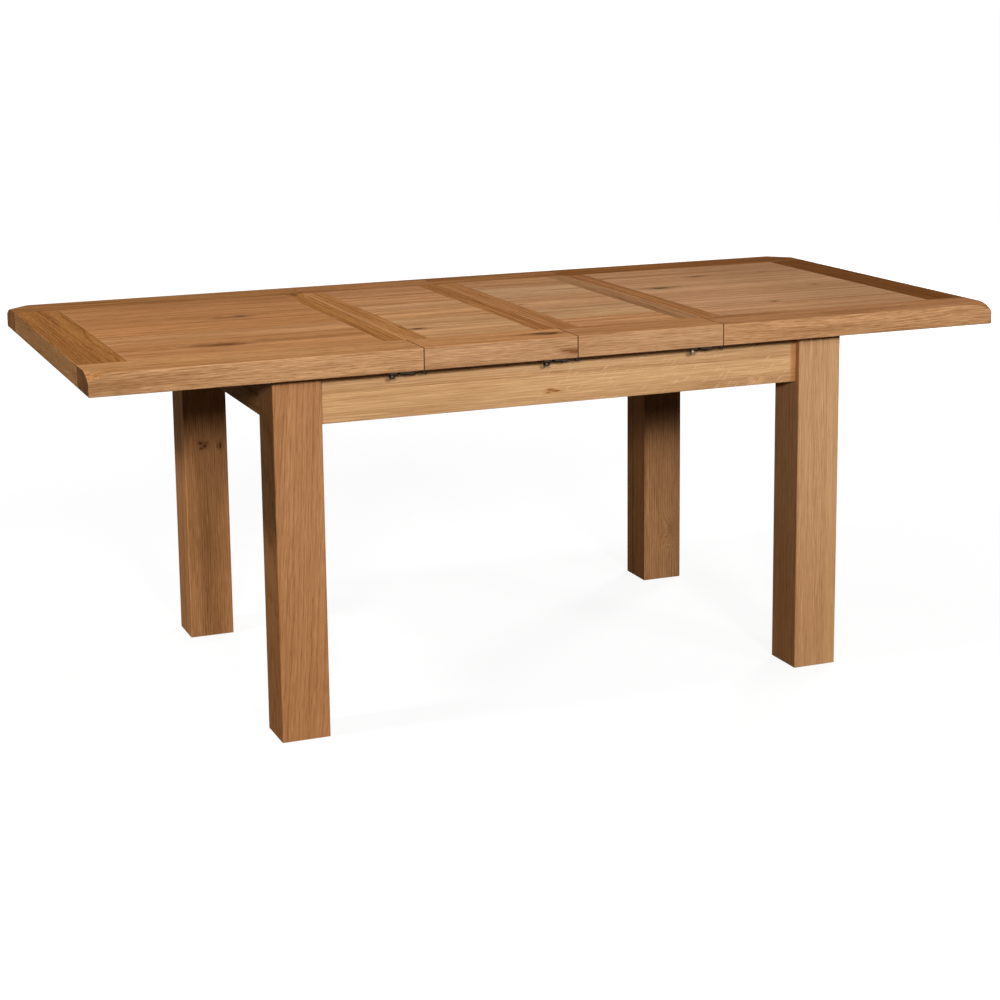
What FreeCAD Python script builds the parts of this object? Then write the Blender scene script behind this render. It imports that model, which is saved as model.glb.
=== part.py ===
import FreeCAD, Part
import math
import os
import re

import Sketcher

# Extending dining table: a leg-and-apron frame carries two half-tops that draw apart on
# wooden slides, and two loose leaves fill the opening between them.
# The frame stands on z = 0, x runs along the table and the front looks towards -y.

doc = FreeCAD.newDocument("ExtendingTable")
sheet = doc.addObject("Spreadsheet::Sheet", "Sizes")

# Driving dimensions in millimetres.
sizes = {
    # the top
    "table_height": 780,
    "table_depth": 920,
    "half_top_length": 660,
    "leaf_width": 330,
    "seam_gap": 1,
    "top_thickness": 45,
    "panel_thickness": 25,
    "long_rail_width": 105,
    "end_rail_width": 97,
    "inner_rail_width": 47,
    "groove_depth": 12,
    "groove_height": 12,
    "groove_drop": 7,
    "groove_stop": 15,
    "tongue_play": 1,
    "panel_play": 0.4,
    "edge_ease": 2,
    "corner_roll_radius": 50,
    "corner_roll_reach": 39,
    # the frame
    "running_gap": 5,
    "leg_size": 100,
    "leg_flat": 14,
    "leg_ease": 3,
    "end_inset": 30,
    "side_inset": 35,
    "apron_height": 95,
    "apron_thickness": 24,
    "apron_setback": 15,
    "apron_ease": 1.5,
    "brace_thickness": 24,
    "brace_height": 80,
    "brace_rise": 6,
    "bolt_diameter": 10,
    "bolt_depth": 45,
    "bolt_play": 0.1,
    "bolt_clearance": 0.5,
    "bolt_head_width": 17,
    "bolt_head_height": 7,
    "bearer_width": 45,
    "bearer_height": 40,
    "bearer_offset": 300,
    # the slides
    "guide_width": 40,
    "guide_height": 50,
    "guide_side_room": 201,
    "slot_depth": 10,
    "slot_height": 12,
    "slot_rise": 20,
    "runner_width": 32,
    "runner_height": 50,
    "slide_play": 0.5,
    "draw_travel": 40,
    "runner_end_room": 6,
    "batten_width": 35,
    "leaf_batten_width": 20,
    "leaf_batten_height": 18,
    "leaf_batten_room": 3,
    # the leaf catches
    "catch_inset": 25,
    "catch_plate_length": 43,
    "catch_plate_width": 22,
    "catch_plate_thickness": 2,
    "catch_plate_clip": 4,
    "catch_edge_room": 3,
    "pivot_inset": 20,
    "pivot_diameter": 8,
    "pivot_head_diameter": 11,
    "pivot_head_height": 2,
    "pivot_play": 0.05,
    "bar_play": 0.3,
    "bar_thickness": 5,
    "bar_width": 13,
    "bar_clip": 3,
    "bar_eye_width": 18,
    "bar_eye_clip": 4.5,
    "knob_reach": 39,
    "knob_diameter": 11,
    "knob_drop": 8,
    "keeper_length": 34,
    "keeper_round": 10.5,
    "hook_reach": 28,
    "hook_lead": 2,
    "hook_pin_diameter": 5,
    "hook_play": 0.4,
    "hook_pin_head_diameter": 9,
    "hook_pin_head_height": 2,
    # extra length that lets a cut pass through a face
    "overrun": 5,
}

# Places worked out from the driving dimensions, on the right and back side of the table.
places = {
    "top_end": "half_top_length + leaf_width",
    "top_side": "table_depth / 2",
    "inner_side": "top_side - long_rail_width",
    "underside": "table_height - top_thickness",
    "panel_underside": "table_height - panel_thickness",
    "groove_top": "table_height - groove_drop",
    "groove_bottom": "groove_top - groove_height",
    "tongue_length": "groove_depth - tongue_play",
    "half_gap": "seam_gap / 2",
    "frame_top": "underside - running_gap",
    "leg_end": "half_top_length - end_inset",
    "leg_side": "top_side - side_inset",
    "apron_end": "leg_end - apron_setback",
    "apron_side": "leg_side - apron_setback",
    "inside_end": "apron_end - apron_thickness",
    "inside_side": "apron_side - apron_thickness",
    "apron_bottom": "frame_top - apron_height",
    "brace_bottom": "apron_bottom + brace_rise",
    "brace_far_cut": "brace_near_cut + brace_thickness * sqrt(2)",
    "brace_near_cut": "2 * (leg_size - apron_setback - apron_thickness) - leg_flat",
    "flat_middle": "leg_size - leg_flat / 2",
    "bolt_height": "brace_bottom + brace_height / 2",
    "guide_offset": "inside_side - guide_side_room",
    "guide_bottom": "frame_top - guide_height",
    "bearer_bottom": "guide_bottom - bearer_height",
    "slot_bottom": "guide_bottom + slot_rise",
    "runner_bottom": "underside - runner_height",
    "runner_near": "guide_width / 2 + slide_play",
    "runner_far": "runner_near + runner_width",
    "runner_outer_end": "inside_end - draw_travel - runner_end_room",
    "runner_inner_end": "inside_end - leaf_width - runner_end_room",
    "batten_inner": "runner_outer_end - batten_width",
    "leaf_batten_far": "guide_offset - runner_far - slide_play",
    "leaf_batten_near": "leaf_batten_far - leaf_batten_width",
    "catch_side": "top_side - catch_inset",
    "catch_plate_bottom": "underside - catch_plate_thickness",
    "bar_bottom": "catch_plate_bottom - bar_play - bar_thickness",
    "hook_slot_radius": "hook_pin_diameter / 2 + hook_play",
}

for row, (alias, size) in enumerate(sizes.items(), start=1):
    sheet.set("A%d" % row, alias)
    sheet.set("B%d" % row, str(size))
    sheet.setAlias("B%d" % row, alias)
doc.recompute()


def spelled(formula):
    """Write a formula of named sizes and places as an expression on the sheet."""
    def one(word):
        name = word.group(0)
        if name in sizes:
            return "Sizes." + name
        if name in places:
            return "(" + spelled(places[name]) + ")"
        return name
    return re.sub(r"[a-z_]+", one, formula)


def bind(thing, **formulas):
    """Tie properties of an object to the sheet; x, y and z stand for its place."""
    for key, formula in formulas.items():
        path = "Placement.Base." + key if key in ("x", "y", "z") else key
        thing.setExpression(path, spelled(formula))


def signed(formula, sign):
    """Put a formula on the positive or the negative side."""
    return formula if sign > 0 else "-(%s)" % formula


def spanned(low, high, sign):
    """A (from, to) span of formulas, mirrored when the sign is negative."""
    return (low, high) if sign > 0 else (signed(high, sign), signed(low, sign))


def upright(angle):
    """Turn about the upright axis, in degrees."""
    return FreeCAD.Rotation(FreeCAD.Vector(0, 0, 1), angle)


def slanted():
    """Lay an upright axis along the level diagonal between +x and +y."""
    return FreeCAD.Rotation(FreeCAD.Vector(0, 0, 1), FreeCAD.Vector(1, 1, 0))


def near(first, second):
    """Compare two lengths within a thousandth of the smallest named size."""
    return abs(first - second) < min(sizes.values()) / 1000


def new_body(label):
    body = doc.addObject("PartDesign::Body", label)
    body.Label = label
    return body


def grouped(label, pieces):
    """Keep separate solids under one name."""
    group = doc.addObject("Part::Compound", label)
    group.Label = label
    group.Links = pieces
    return group


def block(body, kind, x, y, z):
    """Add or cut a block between three (from, to) spans."""
    feature = body.newObject("PartDesign::%sBox" % kind, body.Label + "_block")
    bind(feature, Length="(%s) - (%s)" % (x[1], x[0]), Width="(%s) - (%s)" % (y[1], y[0]),
         Height="(%s) - (%s)" % (z[1], z[0]), x=x[0], y=y[0], z=z[0])


def cylinder(body, kind, x, y, z, radius):
    """Add or cut an upright cylinder over a (from, to) span of heights."""
    feature = body.newObject("PartDesign::%sCylinder" % kind, body.Label + "_cylinder")
    bind(feature, Radius=radius, Height="(%s) - (%s)" % (z[1], z[0]), x=x, y=y, z=z[0])


def slanted_hole(body, along, height, radius, length):
    """Bore a level hole along the diagonal from the point (along, along)."""
    hole = body.newObject("PartDesign::SubtractiveCylinder", body.Label + "_hole")
    hole.Placement.Rotation = slanted()
    bind(hole, Radius=radius, Height=length, x=along, y=along, z=height)


def outline_pad(body, role, points, length):
    """Pad a closed outline, given as formula pairs, off one of the body's own planes."""
    sketch = body.newObject("Sketcher::SketchObject", body.Label + "_outline")
    plane = [feature for feature in body.Origin.OriginFeatures if feature.Role == role][0]
    sketch.AttachmentSupport = [(plane, "")]
    sketch.MapMode = "FlatFace"
    count = len(points)
    # The corners start on a unit ring and the constraints carry them to their places.
    turns = [math.tau * step / count for step in range(count)]
    ring = [FreeCAD.Vector(math.cos(turn), math.sin(turn), 0) for turn in turns]
    for step in range(count):
        sketch.addGeometry(Part.LineSegment(ring[step], ring[(step + 1) % count]), False)
    for step in range(count):
        sketch.addConstraint(Sketcher.Constraint("Coincident", step, 2, (step + 1) % count, 1))
    for step, (across, along) in enumerate(points):
        for kind, start, formula in (("DistanceX", ring[step].x, across), ("DistanceY", ring[step].y, along)):
            index = sketch.addConstraint(Sketcher.Constraint(kind, -1, 1, step, 1, start))
            sketch.setExpression("Constraints[%d]" % index, spelled(formula))
    pad = body.newObject("PartDesign::Pad", body.Label + "_pad")
    pad.Profile = sketch
    bind(pad, Length=length)
    doc.recompute()


def round_edges(body, radius, chosen):
    """Fillet the edges that the test picks by middle point, direction and bounding box."""
    doc.recompute()
    base = body.Tip
    names = []
    for number, edge in enumerate(base.Shape.Edges, start=1):
        middle = edge.valueAt((edge.FirstParameter + edge.LastParameter) / 2)
        if chosen(middle, edge.tangentAt(edge.FirstParameter), base.Shape.BoundBox):
            names.append("Edge%d" % number)
    fillet = body.newObject("PartDesign::Fillet", body.Label + "_fillet")
    fillet.Base = (base, names)
    bind(fillet, Radius=radius)
    doc.recompute()


# Corners of the frame: name, side along x, side along y, and the turn that points a piece inwards.
corners = (("front_left", -1, -1, 0), ("front_right", 1, -1, 90),
           ("back_right", 1, 1, 180), ("back_left", -1, 1, 270))


def make_leg(corner, x_side, y_side, angle):
    """Square leg with eased arrises and, behind the aprons, a flat on its inner corner for the bolt and brace."""
    body = new_body("leg_" + corner)
    clipped = "leg_size - leg_flat"
    outline_pad(body, "XY_Plane", [("0", "0"), ("leg_size", "0"), ("leg_size", clipped), (clipped, "leg_size"),
                                   ("0", "leg_size")], "frame_top")
    outline_pad(body, "XY_Plane", [("leg_size", clipped), ("leg_size", "leg_size"), (clipped, "leg_size")],
                "apron_bottom")

    def outer_upright(middle, along, box):
        return near(abs(along.z), 1) and (near(middle.x, box.XMin) or near(middle.y, box.YMin))

    round_edges(body, "leg_ease", outer_upright)
    slanted_hole(body, "flat_middle - (bolt_depth + bolt_clearance) / sqrt(2)", "bolt_height",
                 "bolt_diameter / 2 + bolt_play", "bolt_depth + bolt_clearance + overrun")
    body.Placement.Rotation = upright(angle)
    bind(body, x=signed("leg_end", x_side), y=signed("leg_side", y_side))
    return body


def make_brace(corner, x_side, y_side, angle):
    """Diagonal block across the corner of the aprons, against the flat of the leg."""
    body = new_body("corner_brace_" + corner)
    outline_pad(body, "XY_Plane", [("brace_near_cut", "0"), ("brace_far_cut", "0"), ("0", "brace_far_cut"),
                                   ("0", "brace_near_cut")], "brace_height")
    slanted_hole(body, "brace_near_cut / 2 - overrun / sqrt(2)", "brace_height / 2",
                 "bolt_diameter / 2 + bolt_clearance", "brace_thickness + 2 * overrun")
    body.Placement.Rotation = upright(angle)
    bind(body, x=signed("inside_end", x_side), y=signed("inside_side", y_side), z="brace_bottom")
    return body


def make_bolt(corner, x_side, y_side, angle):
    """Hexagon bolt through the brace into the leg."""
    lengths = {"shank": ("Part::Cylinder", "-(bolt_depth)", "bolt_depth + brace_thickness"),
               "head": ("Part::Prism", "brace_thickness", "bolt_head_height")}
    solids = {}
    for name, (kind, start, length) in lengths.items():
        solid = doc.addObject(kind, "bolt_%s_%s" % (corner, name))
        solid.Placement.Rotation = upright(angle).multiply(slanted())
        inwards = "flat_middle + (%s) / sqrt(2)" % start
        bind(solid, Height=length, x=signed("leg_end - (%s)" % inwards, x_side),
             y=signed("leg_side - (%s)" % inwards, y_side), z="bolt_height")
        solids[name] = solid
    bind(solids["shank"], Radius="bolt_diameter / 2")
    solids["head"].Polygon = 6
    bind(solids["head"], Circumradius="bolt_head_width / sqrt(3)")
    bolt = doc.addObject("Part::MultiFuse", "bolt_" + corner)
    bolt.Shapes = list(solids.values())
    return bolt


def make_apron(label, x, y, length, angle):
    """Rail between two legs, set back from their outer faces."""
    body = new_body(label)
    outline_pad(body, "YZ_Plane", [("0", "0"), ("apron_thickness", "0"), ("apron_thickness", "apron_height"),
                                   ("0", "apron_height")], length)

    def shows(middle, along, box):
        return near(abs(along.x), 1) and (near(middle.z, box.ZMin) or near(middle.y, box.YMin))

    round_edges(body, "apron_ease", shows)
    body.Placement.Rotation = upright(angle)
    bind(body, x=x, y=y, z="apron_bottom")
    return body


def make_aprons():
    long_half = "leg_end - leg_size"
    short_half = "leg_side - leg_size"
    return [make_apron("apron_front", signed(long_half, -1), "-(apron_side)", "2 * (%s)" % long_half, 0),
            make_apron("apron_back", long_half, "apron_side", "2 * (%s)" % long_half, 180),
            make_apron("apron_left", "-(apron_end)", short_half, "2 * (%s)" % short_half, 270),
            make_apron("apron_right", "apron_end", signed(short_half, -1), "2 * (%s)" % short_half, 90)]


def make_guide_rail(side, y_side):
    """Fixed guide, slotted along both sides for the runners."""
    body = new_body("guide_rail_" + side)
    wall = "guide_width - slot_depth"
    ledge = "slot_rise + slot_height"
    outline_pad(body, "YZ_Plane", [
        ("0", "0"), ("guide_width", "0"), ("guide_width", "slot_rise"), (wall, "slot_rise"), (wall, ledge),
        ("guide_width", ledge), ("guide_width", "guide_height"), ("0", "guide_height"), ("0", ledge),
        ("slot_depth", ledge), ("slot_depth", "slot_rise"), ("0", "slot_rise")], "2 * inside_end")
    bind(body, x="-(inside_end)", y="%s - guide_width / 2" % signed("guide_offset", y_side), z="guide_bottom")
    return body


def make_bearer(side, x_side):
    """Bearer across the frame, from apron to apron, under the guide rails."""
    body = new_body("cross_bearer_" + side)
    middle_x = signed("bearer_offset", x_side)
    block(body, "Additive", ("%s - bearer_width / 2" % middle_x, "%s + bearer_width / 2" % middle_x),
          ("-(inside_side)", "inside_side"), ("bearer_bottom", "guide_bottom"))
    round_edges(body, "apron_ease",
                lambda middle, along, box: near(abs(along.y), 1) and near(middle.z, box.ZMin))
    return body


def corner_waste(label, x_side, y_side, angle):
    """What the rolled outer corner loses: a block less a lying cylinder, turned to face the corner."""
    blank = doc.addObject("Part::Box", label + "_blank")
    bind(blank, Length="corner_roll_reach + overrun", Width="4 * corner_roll_reach",
         Height="corner_roll_radius + overrun", x="-(overrun)", y="-(2 * corner_roll_reach)",
         z="-(corner_roll_radius)")
    roll = doc.addObject("Part::Cylinder", label + "_roll")
    roll.Placement.Rotation = FreeCAD.Rotation(FreeCAD.Vector(1, 0, 0), 90)
    bind(roll, Radius="corner_roll_radius", Height="4 * corner_roll_reach + 2 * overrun", x="corner_roll_reach",
         y="2 * corner_roll_reach + overrun", z="-(corner_roll_radius)")
    waste = doc.addObject("Part::Cut", label)
    waste.Base = blank
    waste.Tool = roll
    waste.Placement.Rotation = upright(angle + 45)
    bind(waste, x=signed("top_end", x_side), y=signed("top_side", y_side), z="table_height")
    return waste


def make_long_rail(section, side, start, end, tip):
    """Front or back rail of a top section, grooved inside; tip is the side with the rolled corner, or 0."""
    y_side = -1 if side == "front" else 1
    label = "%s_%s_rail" % (section, side)
    body = new_body(label + "_blank" if tip else label)
    block(body, "Additive", (start, end), spanned("inner_side", "top_side", y_side),
          ("underside", "table_height"))

    def shows(middle, along, box):
        outside = near(middle.y, box.YMin if y_side < 0 else box.YMax)
        at_tip = tip != 0 and near(middle.x, box.XMin if tip < 0 else box.XMax)
        return outside and near(abs(along.x), 1) or at_tip and (outside or near(abs(along.y), 1))

    round_edges(body, "edge_ease", shows)
    block(body, "Subtractive", ("%s + groove_stop" % start, "%s - groove_stop" % end),
          spanned("inner_side - overrun", "inner_side + groove_depth", y_side), ("groove_bottom", "groove_top"))
    if not tip:
        return body
    angle = [turn for name, x_side, frame_side, turn in corners if (x_side, frame_side) == (tip, y_side)][0]
    rail = doc.addObject("Part::Cut", label)
    rail.Label = label
    rail.Base = body
    rail.Tool = corner_waste(label + "_waste", tip, y_side, angle)
    return rail


def make_cross_rail(label, start, width, panel_side, at_tip):
    """Rail between the long rails, with a stub tongue at each end and a groove for the panel."""
    body = new_body(label)
    end = "%s + %s" % (start, width)
    block(body, "Additive", (start, end), ("-(inner_side)", "inner_side"), ("underside", "table_height"))
    if at_tip:
        def shows(middle, along, box):
            return near(abs(along.y), 1) and near(middle.x, box.XMin if panel_side > 0 else box.XMax)

        round_edges(body, "edge_ease", shows)
    if panel_side > 0:
        stub = ("%s + groove_stop" % start, "%s - groove_depth" % end)
        groove = ("%s - groove_depth" % end, "%s + overrun" % end)
    else:
        stub = ("%s + groove_depth" % start, "%s - groove_stop" % end)
        groove = ("%s - overrun" % start, "%s + groove_depth" % start)
    slot = ("groove_bottom", "groove_top")
    block(body, "Additive", stub, ("-(inner_side + tongue_length)", "inner_side + tongue_length"), slot)
    block(body, "Subtractive", groove, ("-(inner_side + groove_depth)", "inner_side + groove_depth"), slot)
    return body


def make_panel(label, start, end):
    """Edge-glued boards, flush with the rails, with a tongue all round."""
    body = new_body(label)
    block(body, "Additive", ("%s + panel_play" % start, "%s - panel_play" % end),
          ("-(inner_side - panel_play)", "inner_side - panel_play"), ("panel_underside", "table_height"))
    block(body, "Additive", ("%s - tongue_length" % start, "%s + tongue_length" % end),
          ("-(inner_side + tongue_length)", "inner_side + tongue_length"), ("groove_bottom", "groove_top"))
    return body


def make_section(section, start, end, left, right):
    """Frame-and-panel section of the top; left and right give each cross rail's name and width."""
    left_name, left_width = left
    right_name, right_width = right
    tip = -1 if left_name == "end_rail" else 1 if right_name == "end_rail" else 0
    left_inside = "%s + %s" % (start, left_width)
    right_inside = "%s - %s" % (end, right_width)
    return [make_long_rail(section, "front", start, end, tip),
            make_long_rail(section, "back", start, end, tip),
            make_cross_rail("%s_%s" % (section, left_name), start, left_width, 1, tip < 0),
            make_cross_rail("%s_%s" % (section, right_name), right_inside, right_width, -1, tip > 0),
            make_panel(section + "_panel", left_inside, right_inside)]


def make_runner(section, x_side, side, y_side):
    """Runner under a half-top, with the tongue that rides in the guide's slot.

    The left half-top's runners lie outside the guides and the right half-top's inside.
    """
    body = new_body("%s_runner_%s" % (section, side))
    root = "slot_depth - slide_play"
    far = root + " + runner_width"
    tongue_low = "slot_bottom - runner_bottom"
    tongue_high = tongue_low + " + slot_height - slide_play"
    outline_pad(body, "YZ_Plane", [
        (root, "0"), (far, "0"), (far, "runner_height"), (root, "runner_height"), (root, tongue_high),
        ("0", tongue_high), ("0", tongue_low), (root, tongue_low)], "runner_outer_end + runner_inner_end")
    tongue_tip = "guide_offset - (%s) * (runner_near - (%s))" % (x_side, root)
    about = x_side * y_side > 0
    start = "-(runner_outer_end)" if x_side < 0 else "-(runner_inner_end)"
    finish = "runner_inner_end" if x_side < 0 else "runner_outer_end"
    body.Placement.Rotation = upright(180 if about else 0)
    bind(body, x=finish if about else start, y=signed(tongue_tip, y_side), z="runner_bottom")
    return body


def make_batten(section, x_side):
    """Batten under the field panel, which the outer ends of the runners are screwed to."""
    body = new_body(section + "_batten")
    block(body, "Additive", spanned("batten_inner", "runner_outer_end", x_side),
          ("-(inner_side)", "inner_side"), ("underside", "panel_underside"))
    return body


def make_leaf_batten(leaf, start, side, y_side):
    """Batten under a leaf, clipped below, that drops between the runners and keeps the leaf in line."""
    body = new_body("%s_batten_%s" % (leaf, side))
    width, height, clip = "leaf_batten_width", "leaf_batten_height", "edge_ease"
    outline_pad(body, "YZ_Plane", [
        (clip, "0"), ("%s - %s" % (width, clip), "0"), (width, clip),
        (width, height), ("0", height), ("0", clip)],
        "leaf_width - seam_gap - 2 * leaf_batten_room")
    bind(body, x="%s + leaf_batten_room" % start, y=spanned("leaf_batten_near", "leaf_batten_far", y_side)[0],
         z="underside - leaf_batten_height")
    return body


def headed_pin(body, x, diameter, head_diameter, head_height):
    """Hang a pin with a flat head from a plate, long enough for the bar to pass above the head."""
    middle = "catch_plate_width / 2"
    neck = "-(bar_thickness + 2 * bar_play)"
    cylinder(body, "Additive", x, middle, (neck, "0"), diameter + " / 2")
    cylinder(body, "Additive", x, middle, ("%s - %s" % (neck, head_height), neck), head_diameter + " / 2")


def make_catch_plates(label, seam):
    """Steel plates left of a seam, each with the rivet that its bar turns on."""
    plates = []
    length, width, clip = "catch_plate_length", "catch_plate_width", "catch_plate_clip"
    for side, y_side in (("front", -1), ("back", 1)):
        body = new_body("%s_%s" % (label, side))
        outline_pad(body, "XY_Plane", [
            (clip, "0"), ("%s - %s" % (length, clip), "0"), (length, clip), (length, "%s - %s" % (width, clip)),
            ("%s - %s" % (length, clip), width), (clip, width), ("0", "%s - %s" % (width, clip)), ("0", clip)],
            "catch_plate_thickness")
        headed_pin(body, "catch_plate_length + catch_edge_room - pivot_inset", "pivot_diameter",
                   "pivot_head_diameter", "pivot_head_height")
        bind(body, x="%s - catch_edge_room - catch_plate_length" % seam,
             y="%s - catch_plate_width / 2" % signed("catch_side", y_side), z="catch_plate_bottom")
        plates.append(body)
    return grouped(label, plates)


def make_keepers(label, seam):
    """Steel keepers right of a seam, round-ended, each with the headed pin that the bar hooks behind."""
    plates = []
    length, width = "keeper_length", "catch_plate_width"
    for side, y_side in (("front", -1), ("back", 1)):
        body = new_body("%s_%s" % (label, side))
        outline_pad(body, "XY_Plane", [("0", "0"), (length, "0"), (length, width), ("0", width)],
                    "catch_plate_thickness")
        round_edges(body, "keeper_round",
                    lambda middle, along, box: near(abs(along.z), 1) and near(middle.x, box.XMax))
        headed_pin(body, "hook_reach - pivot_inset - catch_edge_room", "hook_pin_diameter",
                   "hook_pin_head_diameter", "hook_pin_head_height")
        bind(body, x="%s + catch_edge_room" % seam,
             y="%s - catch_plate_width / 2" % signed("catch_side", y_side), z="catch_plate_bottom")
        plates.append(body)
    return grouped(label, plates)


def make_catch_bar(label, seam, y_side):
    """Turning bar: an eye on the rivet, a hooked slot for the keeper's pin and a knob under the end.

    At rest it points away from the seam; the slot opens on the side that leads when the bar is turned in.
    """
    body = new_body(label)
    eye, eye_clip = "bar_eye_width / 2", "bar_eye_width / 2 - bar_eye_clip"
    half, half_clip = "bar_width / 2", "bar_width / 2 - bar_clip"
    tip = "knob_reach + bar_width / 2"
    slot_near, slot_far = "hook_reach - hook_slot_radius", "hook_reach + hook_slot_radius"
    outline = [
        ("-(%s)" % eye, "-(%s)" % eye_clip), ("-(%s)" % eye_clip, "-(%s)" % eye), (eye_clip, "-(%s)" % eye),
        (eye, "-(%s)" % half), (tip + " - bar_clip", "-(%s)" % half), (tip, "-(%s)" % half_clip),
        (tip, half_clip), (tip + " - bar_clip", half), (slot_far, half), (slot_far, "-(hook_slot_radius)"),
        (slot_near, "-(hook_slot_radius)"), (slot_near + " - hook_lead", half), (eye, half), (eye_clip, eye),
        ("-(%s)" % eye_clip, eye), ("-(%s)" % eye, eye_clip)]
    if y_side > 0:
        outline = [(x, signed(y, -1)) for x, y in reversed(outline)]
    outline_pad(body, "XY_Plane", outline, "bar_thickness")
    cylinder(body, "Additive", "knob_reach", "0", ("-(knob_drop)", "0"), "knob_diameter / 2")
    cylinder(body, "Subtractive", "0", "0", ("-(overrun)", "bar_thickness + overrun"),
             "pivot_diameter / 2 + pivot_play")
    body.Placement.Rotation = upright(180)
    bind(body, x="%s - pivot_inset" % seam, y=signed("catch_side", y_side), z="bar_bottom")
    return body


seams = ("-(leaf_width)", "0", "leaf_width")
sides = (("front", -1), ("back", 1))
end_rail = ("end_rail", "end_rail_width")
inner_rail = ("inner_rail", "inner_rail_width")

# The fixed frame.
sub_parts = [make_leg(*corner) for corner in corners]
sub_parts += make_aprons()
sub_parts += [make_brace(*corner) for corner in corners]
sub_parts.append(grouped("leg_bolts", [make_bolt(*corner) for corner in corners]))
sub_parts += [make_guide_rail(*side) for side in sides]
sub_parts += [make_bearer("left", -1), make_bearer("right", 1)]

# The two half-tops with their slides.
sub_parts += make_section("left_top", "-(top_end)", "-(leaf_width + half_gap)", end_rail, inner_rail)
sub_parts += make_section("right_top", "leaf_width + half_gap", "top_end", inner_rail, end_rail)
for section, x_side in (("left_top", -1), ("right_top", 1)):
    sub_parts.append(make_batten(section, x_side))
    for side, y_side in sides:
        sub_parts.append(make_runner(section, x_side, side, y_side))

# The two loose leaves.
leaf_spans = {"leaf_1": ("-(leaf_width - half_gap)", "-(half_gap)"),
              "leaf_2": ("half_gap", "leaf_width - half_gap")}
for leaf, (start, end) in leaf_spans.items():
    sub_parts += make_section(leaf, start, end, ("left_rail", "inner_rail_width"),
                              ("right_rail", "inner_rail_width"))
    for side, y_side in sides:
        sub_parts.append(make_leaf_batten(leaf, start, side, y_side))

# The catches across the three seams, under the front and back edges.
for number, (owner, neighbour, seam) in enumerate(
        zip(("left_top", "leaf_1", "leaf_2"), ("leaf_1", "leaf_2", "right_top"), seams), start=1):
    sub_parts.append(make_catch_plates(owner + "_catch_plates", seam))
    sub_parts.append(make_keepers(neighbour + "_keepers", seam))
    for side, y_side in sides:
        sub_parts.append(make_catch_bar("catch_bar_%d_%s" % (number, side), seam, y_side))

doc.recompute()

for thing in doc.Objects:
    if "Invalid" in thing.State or "Error" in thing.State:
        raise RuntimeError("%s failed: %s" % (thing.Label, thing.State))
for piece in sub_parts:
    if piece.Shape.isNull() or not piece.Shape.isValid():
        raise RuntimeError("%s has no valid shape" % piece.Label)

os.makedirs("parts", exist_ok=True)
for piece in sub_parts:
    piece.Shape.exportStep("parts/%s.step" % piece.Label)
print("%d sub-parts written" % len(sub_parts))
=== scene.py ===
import math

import bmesh
import bpy
from mathutils import Euler, Matrix, Vector


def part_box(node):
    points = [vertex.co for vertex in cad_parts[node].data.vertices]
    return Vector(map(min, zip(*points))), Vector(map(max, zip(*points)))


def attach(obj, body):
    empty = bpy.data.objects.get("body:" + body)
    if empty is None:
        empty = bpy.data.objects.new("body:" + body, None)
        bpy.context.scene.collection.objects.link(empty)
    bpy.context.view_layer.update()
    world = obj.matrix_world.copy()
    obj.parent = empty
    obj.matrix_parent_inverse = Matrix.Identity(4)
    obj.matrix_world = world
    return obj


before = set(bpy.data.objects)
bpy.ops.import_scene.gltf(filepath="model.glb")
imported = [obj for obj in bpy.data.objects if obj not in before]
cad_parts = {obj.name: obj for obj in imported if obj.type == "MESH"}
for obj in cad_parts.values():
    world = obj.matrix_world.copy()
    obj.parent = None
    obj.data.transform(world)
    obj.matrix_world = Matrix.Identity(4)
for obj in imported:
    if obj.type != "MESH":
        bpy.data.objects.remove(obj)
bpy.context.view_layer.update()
mm = 0.001  # the pieces' values below are in millimetres


def linearColour(hexText):  # sRGB hex to linear RGBA
    channels = [int(hexText[i:i + 2], 16) / 255 for i in (1, 3, 5)]
    return tuple(c / 12.92 if c <= 0.04045 else ((c + 0.055) / 1.055) ** 2.4 for c in channels) + (1.0,)


def addNode(tree, kind, settings=None, inputs=None):  # one node with its settings, values and links
    node = tree.nodes.new(kind)
    for key, value in (settings or {}).items():
        setattr(node, key, value)
    for key, value in (inputs or {}).items():
        if isinstance(value, bpy.types.NodeSocket):
            tree.links.new(value, node.inputs[key])
        else:
            node.inputs[key].default_value = value
    return node


# settings that many nodes share: mix two colours, multiply one by the other, ease in and out
mixed = {"data_type": "RGBA"}
multiplied = {"data_type": "RGBA", "blend_type": "MULTIPLY"}
eased = {"interpolation_type": "SMOOTHSTEP"}


def newMaterial(name):
    material = bpy.data.materials.new(name)
    material.use_nodes = True
    return material, material.node_tree, material.node_tree.nodes["Principled BSDF"]


def dress(node, material):  # a CAD node keeps its mesh and gets this finish
    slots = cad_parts[node].data.materials
    slots.clear()
    slots.append(material)


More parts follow.
